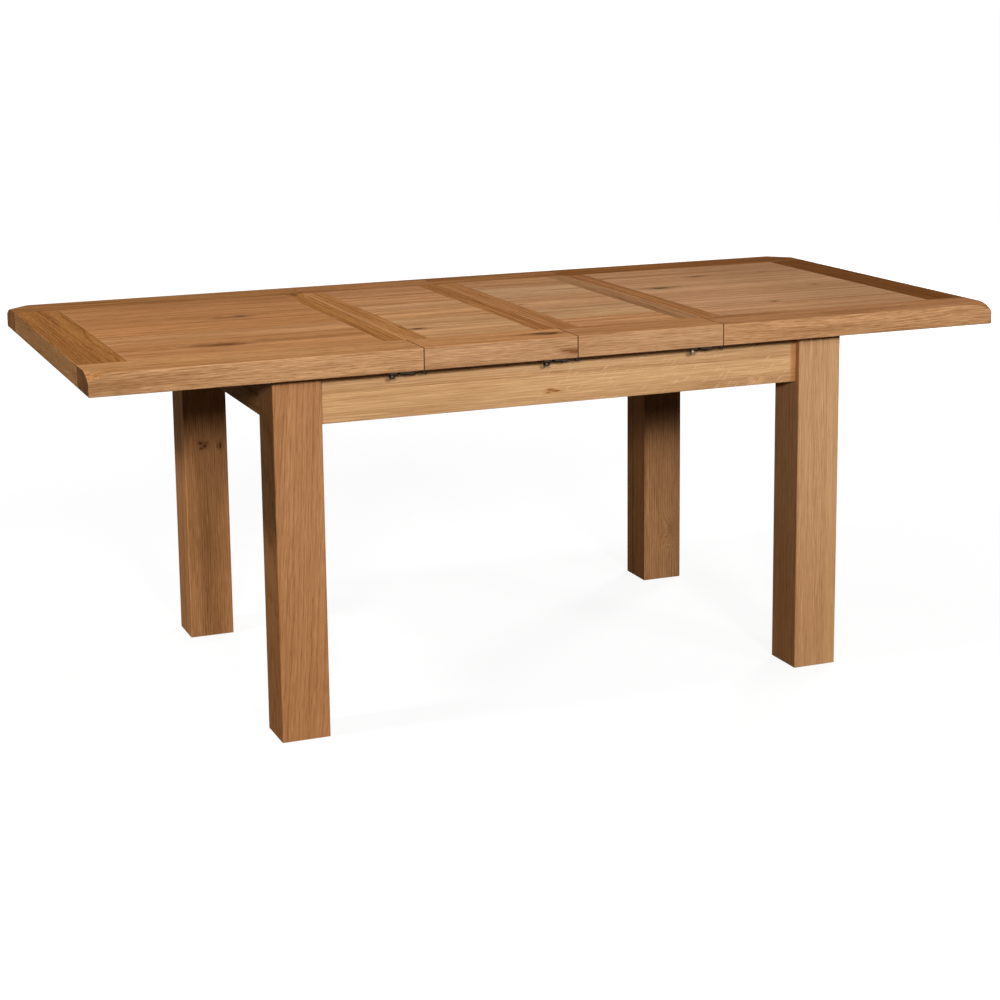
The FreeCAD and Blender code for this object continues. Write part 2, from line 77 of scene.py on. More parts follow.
# Oak: a ring-porous wood, planed, sanded and oiled to a matt finish. The eye sees soft streaks of tone along the
# grain, bands of short dark pores in the early wood, pale rays where it is cut on the quarter, dark knots that the
# grain bends round, and end grain a good deal darker than the faces.
oakPattern = {
    "seedStep": 7.3,  # metres along the log from one board's seed to the next
    "boardStep": (11.0, 0.09, 0.05),  # metres that glued boards lie apart in the log, at most
    "boardOrder": 0.37,  # share of that from one glued board to the next
    "drift": (560, 75),  # length and width of each pattern, in mm
    "streak": (300, 17),
    "fibre": (46, 1.7),
    "pore": (17, 1.6),  # real pores are 0.3 mm wide, drawn coarser so that they show
    "detail": 3.0,
    "raggedness": 0.55,
    "driftWeight": 1.7,  # how far each pattern moves the tone
    "streakWeight": 2.4,
    "fibreWeight": 3.2,
    "earlyWood": (0.42, 0.05),  # where in a year's ring the porous wood fades out and where it is full
    "earlyDrop": 0.75,  # how far the early wood darkens the tone, and the lift that evens it out
    "earlyLift": 0.22,
    "poreLevels": (0.54, 0.59),  # the pore pattern turns dark above these and pale below those of the flecks
    "fleckLevels": (0.46, 0.40),
    "latePores": 0.45,  # share of the pores outside the early wood
    "darkShares": (0.68, 0.60, 0.52),
    "lightShares": (1.26, 1.30, 1.36),
    "poreShares": (0.58, 0.49, 0.41),
    "fleckShares": (1.22, 1.26, 1.30),
    "edgeFull": 0.4,  # share of a painted edge line's width, highlight or shadow, that has its full colour
    "facing": (0.3, 0.8),  # cosines between which a face counts as turned one way
    "endOn": (0.75, 0.98),  # and as end grain
    "roughness": (0.46, 0.60),
    "specular": 0.001,  # a matt oil throws back next to nothing of the room
    "bump": 0.15,
    "relief": 0.25,  # depth of the open grain, in mm
}
# a knot's outer and inner reach are in half sizes of the knot, its outline is ragged
knotPattern = {"bulge": (4.8, 1.2), "halo": (4.0, 1.5), "core": (2.0, 1.15), "haloShare": 0.5,
               "push": (0, 1, 0.7), "ragged": 1.2, "scale": 1.1, "detail": 3.0, "raggedness": 0.7}
# rays show as strokes, one to a cell, in some of the cells
rayPattern = {"colour": "#e3bf92", "curl": 45, "curlDetail": 1.0, "stroke": (0.30, 0.08), "chosen": (0.35, 0.55)}
waveLength = math.pi / 10  # metres from ring to ring in a wave texture at scale 1
grainTurns = {"x": (0, 0, 0), "y": (0, 0, -math.pi / 2), "z": (0, math.pi / 2, 0),
              "leaning": (0, math.radians(86), 0),  # nearly upright
              "rising": (0, 0, -math.pi / 4), "falling": (0, 0, math.pi / 4)}  # slanting on plan


def glueBoards(tree, look, across, low, high):  # each board's tint with the joint lines, and its cut of the log
    share = addNode(tree, "ShaderNodeMapRange", inputs={
        "Value": across, "From Min": low, "From Max": high}).outputs[0]
    boards = addNode(tree, "ShaderNodeValToRGB", inputs={0: share})
    joints = addNode(tree, "ShaderNodeValToRGB", inputs={0: share})
    for ramp in (boards.color_ramp, joints.color_ramp):
        ramp.interpolation = "CONSTANT"
        ramp.elements.remove(ramp.elements[1])
        ramp.elements[0].color = (1, 1, 1, 1)
    line = look["jointLine"] * mm / (high - low)
    for number, (edge, colour) in enumerate(look["boards"]):
        at = (edge * mm - low) / (high - low)
        stop = boards.color_ramp.elements[0] if number == 0 else boards.color_ramp.elements.new(at)
        stop.color = linearColour(colour)[:3] + (number * oakPattern["boardOrder"] % 1,)
        if number:
            joints.color_ramp.elements.new(at - line / 2).color = linearColour(look["jointTint"])
            joints.color_ramp.elements.new(at + line / 2).color = (1, 1, 1, 1)
    tint = addNode(tree, "ShaderNodeMix", multiplied, {
        0: 1.0, 6: boards.outputs["Color"], 7: joints.outputs["Color"]}).outputs[2]
    shift = addNode(tree, "ShaderNodeVectorMath", {"operation": "MULTIPLY"}, {
        0: boards.outputs["Alpha"], 1: oakPattern["boardStep"]}).outputs[0]
    return tint, shift


def growKnots(tree, look, place):  # spots to colour, and how far the knots together bend the grain
    spots, bend = [], None
    for at, size, core, halo, strength, push in look.get("knots", ()):
        away = addNode(tree, "ShaderNodeVectorMath", {"operation": "SUBTRACT"}, {
            0: place, 1: Vector(at) * mm}).outputs[0]
        away = addNode(tree, "ShaderNodeVectorMath", {"operation": "DIVIDE"}, {
            0: away, 1: Vector(size) * mm}).outputs[0]
        distance = addNode(tree, "ShaderNodeVectorMath", {"operation": "LENGTH"}, {0: away}).outputs["Value"]
        ragged = addNode(tree, "ShaderNodeTexNoise", inputs={
            "Vector": away, "Scale": knotPattern["scale"], "Detail": knotPattern["detail"],
            "Roughness": knotPattern["raggedness"]}).outputs["Fac"]
        distance = addNode(tree, "ShaderNodeMath", {"operation": "MULTIPLY_ADD"}, {
            0: ragged, 1: knotPattern["ragged"], 2: distance}).outputs[0]
        bulge = addNode(tree, "ShaderNodeMapRange", eased, {
            "Value": distance, "From Min": knotPattern["bulge"][0], "From Max": knotPattern["bulge"][1],
            "To Max": push * mm}).outputs[0]
        bend = bulge if bend is None else addNode(
            tree, "ShaderNodeMath", {"operation": "ADD"}, {0: bend, 1: bulge}).outputs[0]
        spots.append((distance, knotPattern["halo"], halo, knotPattern["haloShare"] * strength))
        spots.append((distance, knotPattern["core"], core, strength))
    return spots, bend


def drawRays(tree, look, place, along):  # silver figure: ray edges as short pale slanting strokes
    slant = addNode(tree, "ShaderNodeMapping", inputs={
        "Vector": place, "Rotation": (0, math.radians(look["raySlant"]), 0)}).outputs[0]
    curl = addNode(tree, "ShaderNodeTexNoise", inputs={
        "Vector": place, "Scale": 1 / (rayPattern["curl"] * mm), "Detail": rayPattern["curlDetail"]}).outputs["Color"]
    slant = addNode(tree, "ShaderNodeVectorMath", {"operation": "MULTIPLY_ADD"}, {
        0: curl, 1: (0, 0, look["rayCurl"] * mm), 2: slant}).outputs[0]
    slant = addNode(tree, "ShaderNodeVectorMath", {"operation": "DIVIDE"}, {
        0: slant, 1: Vector(look["rayCell"]) * mm}).outputs[0]
    cells = addNode(tree, "ShaderNodeTexVoronoi", inputs={"Vector": slant, "Scale": 1.0})
    strokes = addNode(tree, "ShaderNodeMapRange", eased, {
        "Value": cells.outputs["Distance"], "From Min": rayPattern["stroke"][0], "From Max": rayPattern["stroke"][1],
        "To Max": look["rays"]}).outputs[0]
    chosen = addNode(tree, "ShaderNodeMapRange", inputs={
        "Value": cells.outputs["Color"], "From Min": rayPattern["chosen"][0],
        "From Max": rayPattern["chosen"][1]}).outputs[0]
    reach = addNode(tree, "ShaderNodeMapRange", eased, {
        "Value": along, "From Min": look["rayFrom"][0] * mm, "From Max": look["rayFrom"][1] * mm}).outputs[0]
    for part in (chosen, reach):
        strokes = addNode(tree, "ShaderNodeMath", {"operation": "MULTIPLY"}, {0: strokes, 1: part}).outputs[0]
    return strokes


def oakBoard(node, look, kind="oiledOak"):
    low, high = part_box(node)
    material, tree, shader = newMaterial(kind + "_" + node)
    coordinates = addNode(tree, "ShaderNodeTexCoord").outputs
    place, normal = coordinates["Object"], coordinates["Normal"]
    axes = dict(zip("xyz", addNode(tree, "ShaderNodeSeparateXYZ", inputs={0: place}).outputs))
    turn = Euler(grainTurns[look["grain"]])
    start = -(turn.to_matrix() @ ((low + high) / 2))
    start.x += look["seed"] * oakPattern["seedStep"]
    grain = addNode(tree, "ShaderNodeMapping", inputs={
        "Vector": place, "Rotation": turn, "Location": start}).outputs[0]
    if "boards" in look:
        across = "xyz".index(look["boardsAcross"])
        tint, shift = glueBoards(tree, look, axes[look["boardsAcross"]], low[across], high[across])
        grain = addNode(tree, "ShaderNodeVectorMath", {"operation": "ADD"}, {0: grain, 1: shift}).outputs[0]

    spots, bend = growKnots(tree, look, place)
    patterns = {}
    for name in ("drift", "streak", "fibre", "pore"):
        length, width = oakPattern[name]
        length *= look["stretch"]
        stretched = addNode(tree, "ShaderNodeVectorMath", {"operation": "MULTIPLY"}, {
            0: grain, 1: (1 / (length * mm), 1 / (width * mm), 1 / (width * mm))}).outputs[0]
        pattern = addNode(tree, "ShaderNodeTexNoise", inputs={
            "Vector": stretched, "Scale": 1.0, "Detail": oakPattern["detail"],
            "Roughness": oakPattern["raggedness"]}).outputs
        patterns[name] = pattern["Fac"]
        if name == "drift":  # the drift and the knots bend the log before the finer patterns are drawn on it
            stray = look["wander"] * mm
            grain = addNode(tree, "ShaderNodeVectorMath", {"operation": "MULTIPLY_ADD"}, {
                0: pattern["Color"], 1: (0, stray, stray), 2: grain}).outputs[0]
            if bend is not None:
                bent = addNode(tree, "ShaderNodeVectorMath", {"operation": "MULTIPLY"}, {
                    0: bend, 1: knotPattern["push"]}).outputs[0]
                grain = addNode(tree, "ShaderNodeVectorMath", {"operation": "ADD"}, {0: grain, 1: bent}).outputs[0]

    heart = addNode(tree, "ShaderNodeVectorMath", {"operation": "ADD"}, {
        0: grain, 1: (0, look["heart"][0] * mm, look["heart"][1] * mm)}).outputs[0]
    rings = addNode(tree, "ShaderNodeTexWave", {
        "wave_type": "RINGS", "rings_direction": "X", "wave_profile": "SAW"}, {
        "Vector": heart, "Scale": waveLength / (look["ring"] * mm), "Distortion": 0.0}).outputs["Fac"]
    early = addNode(tree, "ShaderNodeMapRange", eased, {
        "Value": rings, "From Min": oakPattern["earlyWood"][0],
        "From Max": oakPattern["earlyWood"][1]}).outputs[0]  # 1 in the porous early wood

    # rings, drifts, streaks and fibres weigh in as the piece asks, around a middle of a half
    tone = addNode(tree, "ShaderNodeMath", {"operation": "MULTIPLY_ADD"}, {
        0: early, 1: -oakPattern["earlyDrop"] * look["rings"],
        2: 0.5 + oakPattern["earlyLift"] * look["rings"]}).outputs[0]
    for name, share in (("drift", look["streaks"]), ("streak", look["streaks"]), ("fibre", look["fibres"])):
        level = addNode(tree, "ShaderNodeMath", {"operation": "SUBTRACT"}, {0: patterns[name], 1: 0.5}).outputs[0]
        tone = addNode(tree, "ShaderNodeMath", {"operation": "MULTIPLY_ADD"}, {
            0: level, 1: oakPattern[name + "Weight"] * share, 2: tone}).outputs[0]
    middle = linearColour(look["tone"])[:3]
    dark = [c * share for c, share in zip(middle, oakPattern["darkShares"])] + [1]
    light = [c * share for c, share in zip(middle, oakPattern["lightShares"])] + [1]
    colour = addNode(tree, "ShaderNodeMix", mixed, {0: tone, 6: dark, 7: light}).outputs[2]
    if "boards" in look:
        colour = addNode(tree, "ShaderNodeMix", multiplied, {0: 1.0, 6: colour, 7: tint}).outputs[2]

    dashes, flecks = (addNode(tree, "ShaderNodeMapRange", eased, {
        "Value": patterns["pore"], "From Min": oakPattern[levels][0], "From Max": oakPattern[levels][1],
        "To Max": look["pores"]}).outputs[0] for levels in ("poreLevels", "fleckLevels"))
    band = addNode(tree, "ShaderNodeMapRange", inputs={"Value": early, "To Min": oakPattern["latePores"]}).outputs[0]
    pores = addNode(tree, "ShaderNodeMath", {"operation": "MULTIPLY"}, {0: dashes, 1: band}).outputs[0]
    for amount, shares in ((pores, "poreShares"), (flecks, "fleckShares")):
        colour = addNode(tree, "ShaderNodeMix", multiplied, {
            0: amount, 6: colour, 7: oakPattern[shares] + (1,)}).outputs[2]

    if "rays" in look:
        strokes = drawRays(tree, look, place, axes["x"])
        colour = addNode(tree, "ShaderNodeMix", mixed, {
            0: strokes, 6: colour, 7: linearColour(rayPattern["colour"])}).outputs[2]
    for distance, (outer, inner), hexText, strength in spots:
        spot = addNode(tree, "ShaderNodeMapRange", eased, {
            "Value": distance, "From Min": outer, "From Max": inner, "To Max": strength}).outputs[0]
        colour = addNode(tree, "ShaderNodeMix", mixed, {0: spot, 6: colour, 7: linearColour(hexText)}).outputs[2]
    for axis, at, width, hexText, strength in look.get("edges", ()):  # painted light along seams and edges: pale lines are painted highlights on eased edges, dark lines and strips are painted shadow
        gap = addNode(tree, "ShaderNodeMath", {"operation": "SUBTRACT"}, {0: axes[axis], 1: at * mm}).outputs[0]
        gap = addNode(tree, "ShaderNodeMath", {"operation": "ABSOLUTE"}, {0: gap}).outputs[0]
        gap = addNode(tree, "ShaderNodeMapRange", eased, {
            "Value": gap, "From Min": width * mm, "From Max": oakPattern["edgeFull"] * width * mm,
            "To Max": strength}).outputs[0]
        colour = addNode(tree, "ShaderNodeMix", mixed, {0: gap, 6: colour, 7: linearColour(hexText)}).outputs[2]
    for axis, begin, end, shares in look.get("fades", ()):  # painted shade: the colour darkens along the board from begin to end, where less light falls
        reach = addNode(tree, "ShaderNodeMapRange", eased, {
            "Value": axes[axis], "From Min": begin * mm, "From Max": end * mm}).outputs[0]
        colour = addNode(tree, "ShaderNodeMix", multiplied, {0: reach, 6: colour, 7: shares + (1,)}).outputs[2]

    if "face" in look:  # the side that faces this way is tinted by the shares; on the legs' left sides, the front rails' fronts and the left end rail's left side this is painted light and shade, for how the light falls there
        facing = addNode(tree, "ShaderNodeVectorMath", {"operation": "DOT_PRODUCT"}, {
            0: normal, 1: look["face"]}).outputs["Value"]
        facing = addNode(tree, "ShaderNodeMapRange", eased, {
            "Value": facing, "From Min": oakPattern["facing"][0], "From Max": oakPattern["facing"][1]}).outputs[0]
        colour = addNode(tree, "ShaderNodeMix", multiplied, {
            0: facing, 6: colour, 7: look["faceShares"] + (1,)}).outputs[2]
    along = turn.to_matrix().transposed() @ Vector((1, 0, 0))
    endOn = addNode(tree, "ShaderNodeVectorMath", {"operation": "DOT_PRODUCT"}, {
        0: normal, 1: along}).outputs["Value"]
    endOn = addNode(tree, "ShaderNodeMath", {"operation": "ABSOLUTE"}, {0: endOn}).outputs[0]
    endOn = addNode(tree, "ShaderNodeMapRange", eased, {
        "Value": endOn, "From Min": oakPattern["endOn"][0], "From Max": oakPattern["endOn"][1]}).outputs[0]
    colour = addNode(tree, "ShaderNodeMix", multiplied, {
        0: endOn, 6: colour, 7: look["endShares"] + (1,)}).outputs[2]
    tree.links.new(colour, shader.inputs["Base Color"])

    gloss = addNode(tree, "ShaderNodeMapRange", inputs={
        "Value": early, "To Min": oakPattern["roughness"][0], "To Max": oakPattern["roughness"][1]}).outputs[0]
    tree.links.new(gloss, shader.inputs["Roughness"])
    shader.inputs["Specular IOR Level"].default_value = oakPattern["specular"]
    openGrain = addNode(tree, "ShaderNodeMath", {"operation": "SUBTRACT"}, {0: patterns["fibre"], 1: pores}).outputs[0]
    relief = addNode(tree, "ShaderNodeBump", inputs={
        "Strength": oakPattern["bump"], "Distance": oakPattern["relief"] * mm, "Height": openGrain}).outputs[0]
    tree.links.new(relief, shader.inputs["Normal"])
    dress(node, material)


boardDefaults = {
    "stretch": 1,  # above 1 for a longer figure
    "wander": 16,  # how far the rings stray, in mm
    "ring": 5.0,  # a year's growth, in mm
    "streaks": 0.45, "fibres": 0.5, "pores": 0.6,  # how strongly each shows
    "endShares": (0.30, 0.25, 0.20),  # end grain beside the faces
}
# heart is where the log's middle lies beside the board's, in mm. Rows of the lists:
# boards: lower edge, tint; knots: place, half size, core, halo, strength, bend;
# edges: axis, place, half width, colour, strength; fades: axis, begin, end, shares


def cut(**changes):  # a board that differs from the usual one
    return {**boardDefaults, **changes}


# left half-top
leftPanel = cut(
    grain="x", tone="#c8915f", seed=1, stretch=1.7, ring=6.0, rings=0.19, heart=(60, 160), streaks=0.55,
    boardsAcross="y", jointLine=1.2, jointTint="#c4b09a",
    boards=[(-355, "#fffaf4"), (-262, "#f6efe6"), (-170, "#ffffff"), (-78, "#f8eee2"), (40, "#f4eadf"),
            (160, "#f1e7dc"), (262, "#efe6db")],
    knots=[((-667, -252, 780), (13, 9, 20), "#241308", "#6e411e", 1.0, 8),
           ((-692, -251, 780), (26, 12, 20), "#744722", "#8f5d36", 0.8, 5),
           ((-728, -246, 780), (16, 8, 20), "#7a4c28", "#946640", 0.5, 4),
           ((-638, -256, 780), (24, 6, 20), "#7c5029", "#98683f", 0.5, 3),
           ((-552, 88, 780), (15, 9, 20), "#5a3a20", "#90623a", 0.8, 6),
           ((-594, 80, 780), (26, 8, 20), "#85592f", "#9c6d46", 0.55, 4)],
    # painted highlights: pale lines where the eased edges at the joints catch the light
    edges=[("x", -378, 1.4, "#e2bb8c", 0.5), ("x", -892.5, 1.4, "#d9ad7c", 0.4)])
leftEndRail = cut(
    grain="y", tone="#a66d37", seed=2, stretch=1.2, wander=22, ring=4.0, rings=0.46, heart=(18, 70), streaks=0.6,
    pores=0.7,
    # painted light: the left side is tinted paler and cooler than the top, for the light on it
    face=(-1, 0, 0), faceShares=(1.02, 1.24, 1.80))
leftInnerRail = cut(
    grain="y", tone="#b97e44", seed=3, stretch=2, wander=42, rings=0.55, heart=(70, 90), streaks=1.0,
    knots=[((-356, 342, 780), (9, 16, 20), "#5a3a1e", "#855728", 0.6, 6)],
    # painted highlight: a pale line along the eased edge at the seam
    edges=[("x", -330.5, 1.6, "#e6c192", 0.32)])
leftFrontRail = cut(
    grain="x", tone="#bf8956", seed=4, stretch=1.4, wander=30, rings=0.3, heart=(40, 70), streaks=0.65,
    fibres=0.62, pores=0.62, endShares=(0.335, 0.295, 0.265),
    # painted light: the front side gets a tint cooler than the top, for the light on it
    face=(0, -1, 0), faceShares=(0.93, 1.04, 1.28),
    # painted shadow: a dark line in the seam between the front rails
    edges=[("x", -330.5, 1.3, "#54361d", 0.7)])
leftBackRail = cut(
    grain="x", tone="#9f6b3b", seed=5, rings=0.5, heart=(60, 100), streaks=1.2, endShares=(0.66, 0.62, 0.55),
    face=(0, 1, 0), faceShares=(1.30, 1.42, 1.70))
oakBoard("left_top_panel", leftPanel)
oakBoard("left_top_end_rail", leftEndRail)
oakBoard("left_top_inner_rail", leftInnerRail)
oakBoard("left_top_front_rail", leftFrontRail)
oakBoard("left_top_back_rail", leftBackRail)

# first leaf
leafOnePanel = cut(
    grain="x", tone="#d4a476", seed=6, stretch=1.5, ring=6.0, rings=0.17, heart=(80, 150), streaks=0.75,
    boardsAcross="y", jointLine=1.6, jointTint="#b39a80",
    boards=[(-355, "#fff8ed"), (-265, "#fffbf1"), (-108, "#fdf2e2"), (20, "#f6ede4"), (100, "#ecdccd"),
            (235, "#eadacb")],
    knots=[((-262, -234, 780), (13, 7, 20), "#572e15", "#8a5730", 0.9, 5)],
    # painted highlights: pale lines where the eased edges at the joints catch the light
    edges=[("x", -283, 1.2, "#e2c098", 0.4), ("x", -47, 1.2, "#e2c098", 0.4)])
leafOneLeft = cut(
    grain="y", tone="#bc814b", seed=7, stretch=2, wander=42, ring=6.0, rings=0.55, heart=(30, 50), streaks=1.0,
    pores=0.5,
    # painted highlight: a pale line along the eased edge at the seam
    edges=[("x", -329.5, 1.6, "#ecc898", 0.32)])
leafOneRight = cut(
    grain="y", tone="#b37944", seed=8, stretch=2, wander=36, rings=0.5, heart=(50, 80), streaks=1.0,
    # painted highlight: a pale line along the eased edge at the seam
    edges=[("x", -0.5, 1.4, "#d8ac7c", 0.4)])
leafOneFront = cut(
    grain="x", tone="#c98f5b", seed=9, stretch=1.3, wander=24, rings=0.25, heart=(50, 80), streaks=0.6, fibres=0.52,
    pores=0.54,
    # painted light: the front side gets a tint cooler than the top, for the light on it
    face=(0, -1, 0), faceShares=(0.76, 0.86, 1.06),
    knots=[((-38, -408, 780), (16, 8, 20), "#1d0f08", "#7d4c28", 1.0, 8),
           ((-62, -400, 780), (19, 6, 20), "#331c0e", "#845230", 0.9, 4),
           ((-50, -416, 780), (22, 4, 20), "#5f3a1e", "#94633a", 0.6, 3),
           ((-98, -404, 780), (26, 4, 20), "#84532c", "#9c6a40", 0.5, 3),
           ((-8, -460, 749), (12, 12, 4.5), "#87491f", "#a0653a", 0.85, 2),
           ((-24, -460, 752), (13, 12, 2.2), "#8f5226", "#a86d40", 0.75, 2)],
    # painted shadow: dark lines in the seams between the front rails
    edges=[("x", -329.5, 1.3, "#54361d", 0.7), ("x", -0.5, 1.3, "#54361d", 0.7)])
leafOneBack = cut(
    grain="x", tone="#a77143", seed=10, rings=0.5, heart=(60, 90), streaks=1.2,
    face=(0, 1, 0), faceShares=(1.28, 1.40, 1.62))
oakBoard("leaf_1_panel", leafOnePanel)
oakBoard("leaf_1_left_rail", leafOneLeft)
oakBoard("leaf_1_right_rail", leafOneRight)
oakBoard("leaf_1_front_rail", leafOneFront)
oakBoard("leaf_1_back_rail", leafOneBack)

# second leaf
leafTwoPanel = cut(
    grain="x", tone="#d1a276", seed=11, stretch=1.5, ring=6.0, rings=0.17, heart=(70, 170), streaks=0.75,
    boardsAcross="y", jointLine=1.4, jointTint="#b7a08a",
    boards=[(-355, "#fbead9"), (-245, "#fffffa"), (-90, "#fcf4ed"), (70, "#ffffff"), (235, "#fbf1e7")],
    knots=[((57, -24, 780), (7, 3.5, 20), "#5a3820", "#8d6038", 0.6, 4)],
    # painted highlights: pale lines where the eased edges at the joints catch the light
    edges=[("x", 47, 1.2, "#e2c098", 0.4), ("x", 283, 1.2, "#e2c098", 0.4)])
leafTwoLeft = cut(
    grain="y", tone="#ad7543", seed=12, stretch=2, wander=42, ring=6.0, rings=0.6, heart=(25, 50), streaks=1.0,
    pores=0.5,
    # painted highlight: a pale line along the eased edge at the seam
    edges=[("x", 0.5, 1.4, "#e4bd8e", 0.5)])
leafTwoRight = cut(
    grain="y", tone="#ab7b51", seed=13, stretch=2, wander=36, rings=0.5, heart=(50, 80), streaks=1.0,
    # painted highlight: a pale line along the eased edge at the seam
    edges=[("x", 329.5, 1.4, "#cfae8a", 0.4)])
leafTwoFront = cut(
    grain="x", tone="#bb8352", seed=14, stretch=1.3, wander=24, rings=0.25, heart=(50, 80), streaks=0.6,
    fibres=0.45, pores=0.46,
    # painted light: the front side gets a tint cooler than the top, for the light on it
    face=(0, -1, 0), faceShares=(1.04, 1.25, 1.63),
    # painted shadow: dark lines in the seams between the front rails
    edges=[("x", 0.5, 1.3, "#54361d", 0.7), ("x", 329.5, 1.3, "#54361d", 0.7)])
leafTwoBack = cut(
    grain="x", tone="#a26c3c", seed=15, rings=0.5, heart=(60, 90), streaks=1.2,
    face=(0, 1, 0), faceShares=(1.36, 1.50, 1.85))
oakBoard("leaf_2_panel", leafTwoPanel)
oakBoard("leaf_2_left_rail", leafTwoLeft)
oakBoard("leaf_2_right_rail", leafTwoRight)
oakBoard("leaf_2_front_rail", leafTwoFront)
oakBoard("leaf_2_back_rail", leafTwoBack)

# right half-top
rightPanel = cut(
    grain="x", tone="#d0a076", seed=16, stretch=1.7, ring=6.0, rings=0.17, heart=(60, 160), streaks=0.6, fibres=0.4,
    pores=0.48,
    # painted shade: darker towards the right end
    fades=[("x", 520, 760, (0.87, 0.87, 0.86))],
    boardsAcross="y", jointLine=1.2, jointTint="#bfae9c",
    boards=[(-355, "#fff6ec"), (-240, "#fffaf4"), (-120, "#fdf6ee"), (10, "#fffaf4"), (130, "#f8f0e8"),
            (250, "#eee5dc")],
    knots=[((444, 66, 780), (20, 10, 20), "#4c391c", "#86633f", 0.9, 8),
           ((470, 70, 780), (20, 5, 20), "#7c5d38", "#9a764e", 0.5, 4),
           ((606, 204, 780), (17, 9, 20), "#6f4f30", "#94704a", 0.65, 6),
           ((626, 212, 780), (12, 4, 20), "#6f4c2c", "#9a754e", 0.45, 4),
           ((792, 208, 780), (15, 5, 20), "#765433", "#9a754e", 0.45, 5),
           ((832, 126, 780), (12, 5, 20), "#80603f", "#9f7b54", 0.4, 4),
           ((580, -226, 780), (7, 5, 20), "#5e3d22", "#94693f", 0.7, 3),
           ((796, -36, 780), (7, 5, 20), "#6b4a2c", "#94693f", 0.55, 3)],
    # painted highlights: pale lines where the eased edges at the joints catch the light
    edges=[("x", 893, 2.4, "#e6cdaa", 0.6), ("x", 377.5, 1.4, "#dcb890", 0.4)])
rightInnerRail = cut(
    grain="y", tone="#a77041", seed=17, stretch=2, wander=36, rings=0.5, heart=(40, 70), streaks=1.0,
    # painted highlight: a pale line along the eased edge at the seam
    edges=[("x", 330.5, 1.4, "#d8ac7c", 0.4)])
rightEndRail = cut(
    grain="y", tone="#764518", seed=18, stretch=1.5, rings=0.5, heart=(50, 80), streaks=0.85,
    face=(1, 0, 0), faceShares=(1.75, 2.10, 3.20))
rightFrontRail = cut(
    grain="x", tone="#b98254", seed=19, stretch=1.4, wander=30, rings=0.36, heart=(40, 70), streaks=0.75,
    fibres=0.62,
    # painted light: the front side gets a tint cooler than the top, for the light on it
    face=(0, -1, 0), faceShares=(0.97, 1.09, 1.22),
    # painted shadow: a dark line in the seam between the front rails
    edges=[("x", 330.5, 1.3, "#54361d", 0.7)])
rightBackRail = cut(
    grain="x", tone="#8d5828", seed=20, rings=0.45, heart=(60, 90), streaks=1.1,
    face=(0, 1, 0), faceShares=(1.55, 1.85, 2.60))
oakBoard("right_top_panel", rightPanel)
oakBoard("right_top_inner_rail", rightInnerRail)
oakBoard("right_top_end_rail", rightEndRail)
oakBoard("right_top_front_rail", rightFrontRail)
oakBoard("right_top_back_rail", rightBackRail)
print("top dressed in oak")

# frame: legs stand with upright grain, the front apron is cut on the quarter
frontLeftLeg = cut(
    grain="leaning", tone="#af7c52", seed=21, stretch=2, wander=40, ring=9.0, rings=0.27, heart=(-30, 60),
    streaks=0.3, fibres=0.33, pores=0.48,
    # painted shade: the left side is tinted darker and warmer, for the shade on it
    face=(-1, 0, 0), faceShares=(0.84, 0.80, 0.69),
    # painted shade: darker and warmer towards the floor
    fades=[("z", 480, 100, (0.935, 0.895, 0.82))])
frontRightLeg = cut(
    grain="z", tone="#c1946a", seed=22, stretch=2.5, ring=4.0, rings=0.2, heart=(60, 120), streaks=0.2, fibres=0.35,
    pores=0.5,
    # painted shade: the left side is tinted darker and warmer, for the shade on it
    face=(-1, 0, 0), faceShares=(0.84, 0.73, 0.62),
    # painted shade: darker and warmer towards the floor
    fades=[("z", 480, 100, (0.90, 0.84, 0.76))],
    # painted highlight: a paler band along the leg's right edge
    edges=[("x", 620, 26, "#d4a878", 0.35)])
backLeftLeg = cut(
    grain="z", tone="#bb8353", seed=23, stretch=2, rings=0.39, heart=(20, 80), streaks=0.35, fibres=0.4,
    knots=[((-592, 325, 456), (4, 20, 3), "#2e1a0e", "#6e4425", 0.75, 7),
           ((-582, 325, 449), (3.5, 20, 4), "#2e1a0e", "#6e4425", 0.7, 7),
           ((-591, 325, 444), (4, 20, 2.5), "#3a2012", "#7a4c2a", 0.65, 6),
           ((-578, 325, 456), (3, 20, 2.5), "#4a2c18", "#7a4c2a", 0.5, 5),
           ((-546, 325, 447), (3, 20, 7), "#2e1a0e", "#7a4c2a", 0.65, 9)])
backRightLeg = cut(
    grain="z", tone="#a0734c", seed=24, stretch=2, ring=6.0, rings=0.55, heart=(20, 70), streaks=0.35, fibres=0.4,
    # painted shade: the left side is tinted darker and warmer, for the shade on it
    face=(-1, 0, 0), faceShares=(0.75, 0.66, 0.55),
    knots=[((604, 325, 126), (9, 20, 15), "#7d5735", "#946a43", 0.3, 30)])
frontApron = cut(
    grain="x", tone="#c99e70", seed=25, stretch=4, wander=7, ring=7.5, rings=0.42, heart=(220, 40), streaks=0.3,
    fibres=0.48, pores=0.52,
    # painted shade: darker towards the left end
    fades=[("x", 100, -350, (0.91, 0.88, 0.85))],
    rays=0.58, raySlant=40, rayCell=(40, 900, 5.5), rayCurl=16, rayFrom=(-200, 0),
    knots=[((-40, -410, 664), (8, 20, 1.9), "#8a4a22", "#b37a48", 0.85, 2),
           ((-27, -410, 660.5), (9, 20, 1.8), "#83461f", "#b37a48", 0.85, 2),
           ((-45, -410, 658), (6, 20, 1.7), "#95572c", "#b98350", 0.7, 1),
           ((435, -410, 648), (7, 20, 4), "#a06f3e", "#b98a58", 0.4, 2)],
    # painted shadow: the strip that the front right leg casts on the apron's right end
    edges=[("x", 525, 9.5, "#a06a38", 0.62)])
plainApron = cut(grain="x", tone="#bd8d60", seed=26, rings=0.28, heart=(200, 50))
